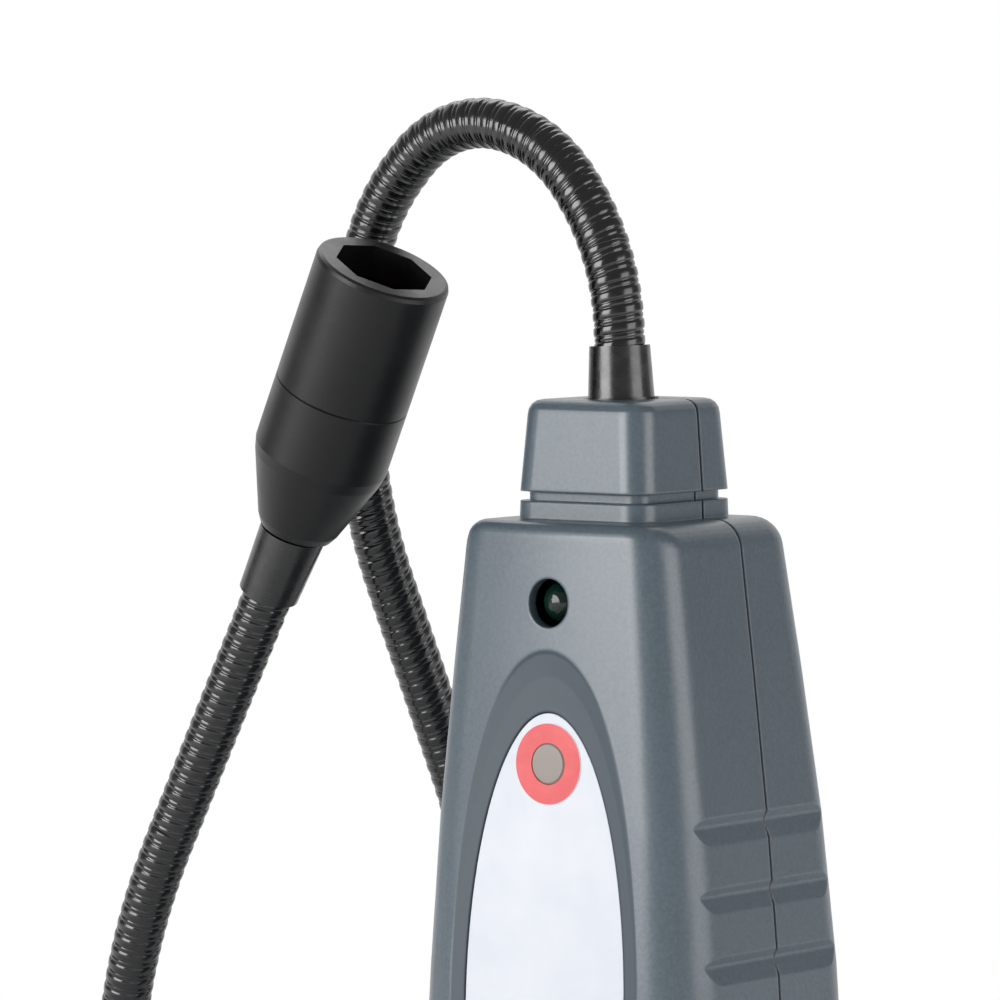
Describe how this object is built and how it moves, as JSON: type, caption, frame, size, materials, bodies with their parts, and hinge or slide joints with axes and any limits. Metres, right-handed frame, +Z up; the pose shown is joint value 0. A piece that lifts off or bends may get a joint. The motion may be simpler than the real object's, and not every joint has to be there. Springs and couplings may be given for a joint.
{
  "type": "leak detector",
  "caption": "Handheld gas leak detector: tapered grey grip with dished white panel, thumb wheel, bendable black neck and an eight-sided sensing mouth",
  "frame": {"origin": "on the axis of the neck's foot, at the height of the flat base", "axes": "+Z up along the grip, front with the label faces -Y, +X to the right seen from the front"},
  "size_m": [0.1585, 0.0835, 0.277],
  "materials": {
    "case": "fine-textured moulded plastic, mid grey",
    "label": "white printed label with a pale red ring",
    "lens": "smoky translucent lens",
    "green_lens": "dark green lens, unlit",
    "red_lens": "dark red lens, unlit",
    "board": "green board",
    "board_parts": "black moulded parts",
    "steel": "plated steel",
    "cell": "plain cell",
    "black_plastic": "black",
    "neck": "glossy black coat over a wound tube",
    "sleeve": "glossy black",
    "head_plastic": "matte black plastic",
    "sensor_can": "metal can, red-brown tint"
  },
  "bodies": {
    "handle": {"front_shell": "case", "rear_shell": "case", "front_label": "label", "leak_lens": "lens", "power_led": "green_lens", "leak_led": "red_lens", "circuit_board": "board", "board_screws": "steel", "housing_screws": "steel", "wheel_pot": "board_parts", "buzzer": "board_parts", "cell_1": "cell", "cell_2": "cell", "contact_plate": "steel", "contact_spring": "steel", "neck_ferrule": "steel", "neck_sleeve": "sleeve", "neck_segment_0": "neck"},
    "wheel": {"sensitivity_wheel": "black_plastic"},
    "door": {"battery_door": "case"},
    "link_1": {"neck_segment_1": "neck"},
    "link_2": {"neck_segment_2": "neck"},
    "link_3": {"neck_segment_3": "neck"},
    "link_4": {"neck_segment_4": "neck"},
    "link_5": {"neck_segment_5": "neck"},
    "link_6": {"neck_segment_6": "neck"},
    "link_7": {"neck_segment_7": "neck"},
    "link_8": {"neck_segment_8": "neck"},
    "link_9": {"neck_segment_9": "neck"},
    "link_10": {"neck_segment_10": "neck"},
    "link_11": {"neck_segment_11": "neck"},
    "head": {"neck_segment_12": "neck", "tail_sleeve": "sleeve", "sensor_housing": "head_plastic", "sensor_cap": "head_plastic", "sensor_socket": "black_plastic", "gas_sensor": "sensor_can"}
  },
  "joints": [
    {"name": "sensitivity_turn", "type": "hinge", "parent": "handle", "child": "wheel", "pos_m": [0, -0.0186, 0.097], "axis": [1, 0, 0], "range_deg": [0, 280]},
    {"name": "battery_door_open", "type": "hinge", "parent": "handle", "child": "door", "pos_m": [0, 0.0254, 0.0095], "axis": [-1, 0, 0], "range_deg": [0, 75]},
    {"name": "neck_bend_1", "type": "hinge", "parent": "handle", "child": "link_1", "pos_m": [-0.00116, 0, 0.23798], "axis": [0, 1, 0], "range_deg": [-5, 25]},
    {"name": "neck_bend_2", "type": "hinge", "parent": "link_1", "child": "link_2", "pos_m": [-0.00975, 0, 0.25875], "axis": [0.0255, 0.9995, 0.0187], "range_deg": [-3, 40]},
    {"name": "neck_bend_3", "type": "hinge", "parent": "link_2", "child": "link_3", "pos_m": [-0.03025, 0.0005, 0.27175], "axis": [0.0435, 0.9989, 0.0189], "range_deg": [-3, 45]},
    {"name": "neck_bend_4", "type": "hinge", "parent": "link_3", "child": "link_4", "pos_m": [-0.053, 0.0015, 0.263], "axis": [0.0458, 0.999, 0.0018], "range_deg": [-3, 45]},
    {"name": "neck_bend_5", "type": "hinge", "parent": "link_4", "child": "link_5", "pos_m": [-0.065, 0.002, 0.22875], "axis": [-0.4725, 0.8808, 0.0298], "range_deg": [-3, 34]},
    {"name": "neck_bend_6", "type": "hinge", "parent": "link_5", "child": "link_6", "pos_m": [-0.0655, 0.01975, 0.168], "axis": [-0.9263, -0.3293, -0.183], "range_deg": [-18, 4]},
    {"name": "neck_bend_7", "type": "hinge", "parent": "link_6", "child": "link_7", "pos_m": [-0.06725, 0.042, 0.1165], "axis": [0.6688, -0.6646, -0.3331], "range_deg": [-1, 25]},
    {"name": "neck_bend_8", "type": "hinge", "parent": "link_7", "child": "link_8", "pos_m": [-0.079, 0.04325, 0.089], "axis": [0.7367, -0.5672, -0.3682], "range_deg": [-1, 40]},
    {"name": "neck_bend_9", "type": "hinge", "parent": "link_8", "child": "link_9", "pos_m": [-0.1, 0.026, 0.071], "axis": [0.7762, -0.5663, -0.2772], "range_deg": [-1, 50]},
    {"name": "neck_bend_10", "type": "hinge", "parent": "link_9", "child": "link_10", "pos_m": [-0.11675, 0.003, 0.076], "axis": [0.6604, -0.6865, -0.3042], "range_deg": [-1, 50]},
    {"name": "neck_bend_11", "type": "hinge", "parent": "link_10", "child": "link_11", "pos_m": [-0.11415, -0.0106, 0.1022], "axis": [0.5968, -0.6589, -0.4579], "range_deg": [-1, 30]},
    {"name": "neck_bend_12", "type": "hinge", "parent": "link_11", "child": "head", "pos_m": [-0.07888, -0.01659, 0.17015], "axis": [0.0112, 0.9997, 0.0207], "range_deg": [-12, 10]}
  ]
}
